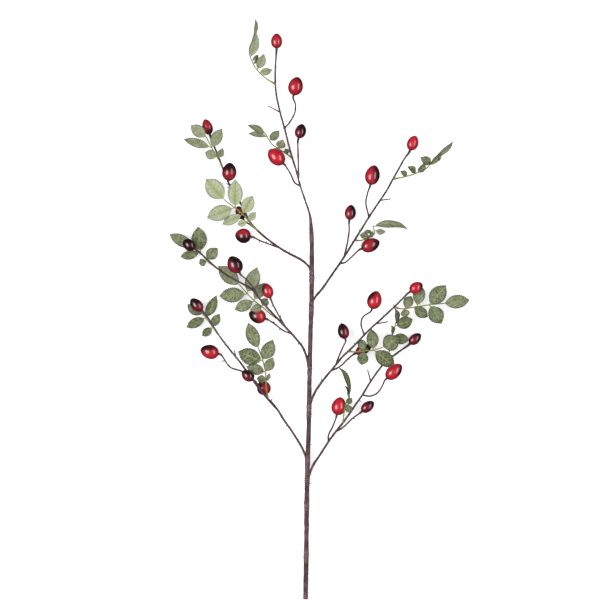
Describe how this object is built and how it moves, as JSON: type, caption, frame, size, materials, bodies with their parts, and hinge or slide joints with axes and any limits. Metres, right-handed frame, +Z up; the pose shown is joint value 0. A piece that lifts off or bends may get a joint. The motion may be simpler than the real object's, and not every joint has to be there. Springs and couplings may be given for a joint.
{
  "type": "rose hip sprig",
  "caption": "Cut rose hip sprig lying flat: a long woody stem with side branches, glossy egg-shaped hips on thin stalks and leaves of toothed leaflets.",
  "frame": {"origin": "middle of the sprig's bounding box, on the surface that it lies on", "axes": "+Y from the cut end of the stem to the tip, +Z up from the surface, +X to the right seen from above"},
  "size_m": [0.3923, 0.76, 0.0397],
  "materials": {
    "bark": "matt purple-brown bark with paler streaks",
    "hip_skin": "glossy red skin that darkens to near black on one side",
    "leaf": "matt green blade with paler veins and a paler underside"
  },
  "bodies": {
    "root": {"main_stem": "bark", "hip_leader_1": "hip_skin", "hip_leader_2": "hip_skin", "hip_leader_3": "hip_skin", "hip_leader_4": "hip_skin", "leaf_leader_1": "leaf", "leaf_leader_2": "leaf", "branch_left_low": "bark", "hip_left_low_1": "hip_skin", "hip_left_low_2": "hip_skin", "hip_left_low_3": "hip_skin", "hip_left_low_4": "hip_skin", "leaf_left_low_1": "leaf", "leaf_left_low_2": "leaf", "branch_right_low": "bark", "hip_right_low_1": "hip_skin", "hip_right_low_2": "hip_skin", "hip_right_low_3": "hip_skin", "hip_right_low_4": "hip_skin", "leaf_right_low_1": "leaf", "leaf_right_low_2": "leaf", "branch_left_mid": "bark", "hip_left_mid_1": "hip_skin", "hip_left_mid_2": "hip_skin", "hip_left_mid_3": "hip_skin", "hip_left_mid_4": "hip_skin", "leaf_left_mid_1": "leaf", "leaf_left_mid_2": "leaf", "branch_right_mid": "bark", "hip_right_mid_1": "hip_skin", "hip_right_mid_2": "hip_skin", "hip_right_mid_3": "hip_skin", "hip_right_mid_4": "hip_skin", "leaf_right_mid_1": "leaf", "leaf_right_mid_2": "leaf", "branch_left_top": "bark", "hip_left_top_1": "hip_skin", "hip_left_top_2": "hip_skin", "hip_left_top_3": "hip_skin", "hip_left_top_4": "hip_skin", "leaf_left_top_1": "leaf", "leaf_left_top_2": "leaf", "branch_right_top": "bark", "hip_right_top_1": "hip_skin", "hip_right_top_2": "hip_skin", "hip_right_top_3": "hip_skin", "hip_right_top_4": "hip_skin", "leaf_right_top_1": "leaf", "leaf_right_top_2": "leaf"}
  },
  "joints": []
}
